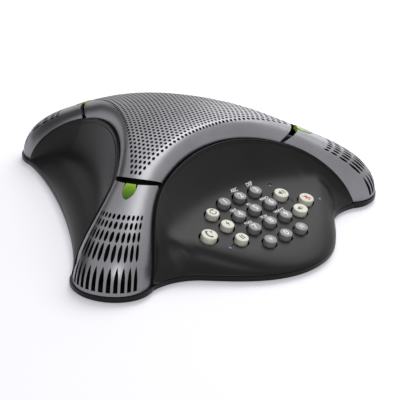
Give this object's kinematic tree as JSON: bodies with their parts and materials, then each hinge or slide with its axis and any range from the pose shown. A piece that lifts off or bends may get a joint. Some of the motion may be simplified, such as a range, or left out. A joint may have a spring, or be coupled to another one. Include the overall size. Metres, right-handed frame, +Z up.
{
  "type": "conference phone",
  "caption": "Three-armed table conference phone with a perforated central speaker, a silver leg cover on each arm and a tilted dialling keypad.",
  "frame": {"origin": "under the middle of the whole phone at the height its feet stand on", "axes": "+Z up, -Y towards the keypad and its user, +X to the user's right, one arm towards +Y"},
  "size_m": [0.24, 0.2534, 0.0695],
  "materials": {
    "silver_paint": "satin silver-grey paint",
    "black_plastic": "fine-textured charcoal moulding",
    "key_grey": "satin mid grey keycap",
    "key_ivory": "satin ivory keycap",
    "lens_green": "translucent lime green moulding",
    "light_pipe": "clear bluish light pipe",
    "circuit_board": "green solder mask",
    "silicone_grey": "matte silicone",
    "rubber_black": "matte rubber",
    "capsule_metal": "plain metal can",
    "jack_plastic": "plain black moulding",
    "magnet_iron": "dark ferrite and steel",
    "zinc_steel": "zinc-plated steel",
    "cone_paper": "pressed paper"
  },
  "bodies": {
    "phone": {"upper_housing": "black_plastic", "base": "black_plastic", "speaker_grille": "silver_paint", "leg_cover_back": "silver_paint", "leg_cover_left": "silver_paint", "leg_cover_right": "silver_paint", "status_lens_back": "lens_green", "status_lens_left": "lens_green", "status_lens_right": "lens_green", "status_light_back": "circuit_board", "status_light_left": "circuit_board", "status_light_right": "circuit_board", "microphone_back": "capsule_metal", "microphone_left": "capsule_metal", "microphone_right": "capsule_metal", "microphone_boot_back": "rubber_black", "microphone_boot_left": "rubber_black", "microphone_boot_right": "rubber_black", "indicator_hold": "light_pipe", "indicator_volume": "light_pipe", "indicator_mute": "light_pipe", "keypad_mat": "silicone_grey", "keypad_board": "circuit_board", "main_board": "circuit_board", "line_jack": "jack_plastic", "speaker_frame": "zinc_steel", "speaker_magnet": "magnet_iron", "speaker_surround": "rubber_black", "rubber_feet": "rubber_black", "case_screws": "zinc_steel"},
    "key_1_button": {"key_1": "key_grey"},
    "key_2_button": {"key_2": "key_grey"},
    "key_3_button": {"key_3": "key_grey"},
    "key_4_button": {"key_4": "key_grey"},
    "key_5_button": {"key_5": "key_grey"},
    "key_6_button": {"key_6": "key_grey"},
    "key_7_button": {"key_7": "key_grey"},
    "key_8_button": {"key_8": "key_grey"},
    "key_9_button": {"key_9": "key_grey"},
    "key_star_button": {"key_star": "key_grey"},
    "key_0_button": {"key_0": "key_grey"},
    "key_pound_button": {"key_pound": "key_grey"},
    "key_redial_button": {"key_redial": "key_ivory"},
    "key_flash_button": {"key_flash": "key_ivory"},
    "key_hold_button": {"key_hold": "key_ivory"},
    "key_phone_button": {"key_phone": "key_ivory"},
    "key_volume_up_button": {"key_volume_up": "key_ivory"},
    "key_volume_down_button": {"key_volume_down": "key_ivory"},
    "key_mute_button": {"key_mute": "key_ivory"},
    "diaphragm": {"speaker_cone": "cone_paper"}
  },
  "joints": [
    {"name": "key_1_press", "type": "slide", "parent": "phone", "child": "key_1_button", "axis": [0, 0.279, -0.9603], "range_m": [0, 0.0012], "stiffness_N_per_m": 500, "springref_m": -0.0006},
    {"name": "key_2_press", "type": "slide", "parent": "phone", "child": "key_2_button", "axis": [0, 0.279, -0.9603], "range_m": [0, 0.0012], "stiffness_N_per_m": 500, "springref_m": -0.0006},
    {"name": "key_3_press", "type": "slide", "parent": "phone", "child": "key_3_button", "axis": [0, 0.279, -0.9603], "range_m": [0, 0.0012], "stiffness_N_per_m": 500, "springref_m": -0.0006},
    {"name": "key_4_press", "type": "slide", "parent": "phone", "child": "key_4_button", "axis": [0, 0.279, -0.9603], "range_m": [0, 0.0012], "stiffness_N_per_m": 500, "springref_m": -0.0006},
    {"name": "key_5_press", "type": "slide", "parent": "phone", "child": "key_5_button", "axis": [0, 0.279, -0.9603], "range_m": [0, 0.0012], "stiffness_N_per_m": 500, "springref_m": -0.0006},
    {"name": "key_6_press", "type": "slide", "parent": "phone", "child": "key_6_button", "axis": [0, 0.279, -0.9603], "range_m": [0, 0.0012], "stiffness_N_per_m": 500, "springref_m": -0.0006},
    {"name": "key_7_press", "type": "slide", "parent": "phone", "child": "key_7_button", "axis": [0, 0.279, -0.9603], "range_m": [0, 0.0012], "stiffness_N_per_m": 500, "springref_m": -0.0006},
    {"name": "key_8_press", "type": "slide", "parent": "phone", "child": "key_8_button", "axis": [0, 0.279, -0.9603], "range_m": [0, 0.0012], "stiffness_N_per_m": 500, "springref_m": -0.0006},
    {"name": "key_9_press", "type": "slide", "parent": "phone", "child": "key_9_button", "axis": [0, 0.279, -0.9603], "range_m": [0, 0.0012], "stiffness_N_per_m": 500, "springref_m": -0.0006},
    {"name": "key_star_press", "type": "slide", "parent": "phone", "child": "key_star_button", "axis": [0, 0.279, -0.9603], "range_m": [0, 0.0012], "stiffness_N_per_m": 500, "springref_m": -0.0006},
    {"name": "key_0_press", "type": "slide", "parent": "phone", "child": "key_0_button", "axis": [0, 0.279, -0.9603], "range_m": [0, 0.0012], "stiffness_N_per_m": 500, "springref_m": -0.0006},
    {"name": "key_pound_press", "type": "slide", "parent": "phone", "child": "key_pound_button", "axis": [0, 0.279, -0.9603], "range_m": [0, 0.0012], "stiffness_N_per_m": 500, "springref_m": -0.0006},
    {"name": "key_redial_press", "type": "slide", "parent": "phone", "child": "key_redial_button", "axis": [0, 0.279, -0.9603], "range_m": [0, 0.0012], "stiffness_N_per_m": 500, "springref_m": -0.0006},
    {"name": "key_flash_press", "type": "slide", "parent": "phone", "child": "key_flash_button", "axis": [0, 0.279, -0.9603], "range_m": [0, 0.0012], "stiffness_N_per_m": 500, "springref_m": -0.0006},
    {"name": "key_hold_press", "type": "slide", "parent": "phone", "child": "key_hold_button", "axis": [0, 0.279, -0.9603], "range_m": [0, 0.0012], "stiffness_N_per_m": 500, "springref_m": -0.0006},
    {"name": "key_phone_press", "type": "slide", "parent": "phone", "child": "key_phone_button", "axis": [0, 0.279, -0.9603], "range_m": [0, 0.0012], "stiffness_N_per_m": 500, "springref_m": -0.0006},
    {"name": "key_volume_up_press", "type": "slide", "parent": "phone", "child": "key_volume_up_button", "axis": [0, 0.279, -0.9603], "range_m": [0, 0.0012], "stiffness_N_per_m": 500, "springref_m": -0.0006},
    {"name": "key_volume_down_press", "type": "slide", "parent": "phone", "child": "key_volume_down_button", "axis": [0, 0.279, -0.9603], "range_m": [0, 0.0012], "stiffness_N_per_m": 500, "springref_m": -0.0006},
    {"name": "key_mute_press", "type": "slide", "parent": "phone", "child": "key_mute_button", "axis": [0, 0.279, -0.9603], "range_m": [0, 0.0012], "stiffness_N_per_m": 500, "springref_m": -0.0006},
    {"name": "cone_travel", "type": "slide", "parent": "phone", "child": "diaphragm", "axis": [0, 0, 1], "range_m": [-0.0008, 0.0008], "stiffness_N_per_m": 2000, "deforming": ["speaker_surround"]}
  ]
}
